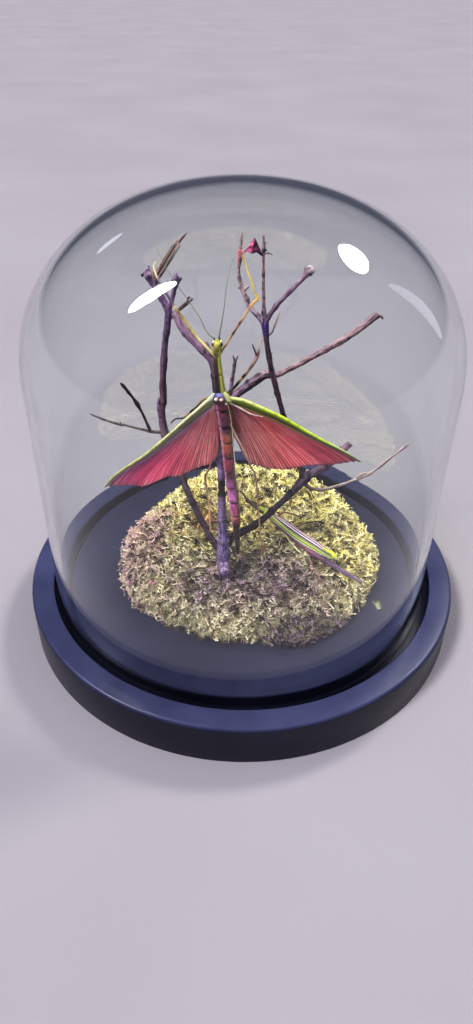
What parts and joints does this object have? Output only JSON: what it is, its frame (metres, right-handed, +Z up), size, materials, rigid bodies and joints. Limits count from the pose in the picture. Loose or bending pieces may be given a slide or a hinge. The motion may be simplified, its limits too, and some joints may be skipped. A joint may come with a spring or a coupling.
{
  "type": "insect in glass dome",
  "caption": "Mounted winged insects on dry twigs and a moss cushion, on a round black board under a clear glass dome.",
  "frame": {"origin": "middle of the board's flat underside", "axes": "+Z up to the top of the dome; -Y towards the front, where the large insect spreads its wings; +X to the viewer's right"},
  "size_m": [0.15, 0.15, 0.1445],
  "materials": {
    "black_satin_paint": "satin black paint",
    "clear_glass": "clear and polished",
    "dried_moss": "matt fibrous moss",
    "twig_bark": "matt purple-brown bark",
    "pale_twig_bark": "matt pale bark",
    "red_leaf": "matt dried leaf",
    "large_insect_skin": "satin cuticle",
    "red_wing": "thin satin wing",
    "small_insect_skin": "satin cuticle",
    "purple_wing": "thin satin wing"
  },
  "bodies": {
    "root": {"base": "black_satin_paint", "glass_dome": "clear_glass", "moss_cushion": "dried_moss", "moss_crumb": "dried_moss", "main_stem": "twig_bark", "left_twig": "twig_bark", "left_twig_right_fork": "twig_bark", "left_twig_spur": "twig_bark", "left_thin_shoot": "twig_bark", "left_thin_shoot_upper": "twig_bark", "forked_shoot": "twig_bark", "right_twig": "twig_bark", "upright_twig": "twig_bark", "upright_twig_right_fork": "twig_bark", "peeled_twig": "pale_twig_bark", "crossing_branch": "pale_twig_bark", "right_thin_branch": "pale_twig_bark", "upright_twig_left_fork": "pale_twig_bark", "dried_leaf": "red_leaf", "large_insect_body": "large_insect_skin", "large_insect_left_wing": "red_wing", "large_insect_right_wing": "red_wing", "small_insect_body": "small_insect_skin", "small_insect_wings": "purple_wing"}
  },
  "joints": []
}
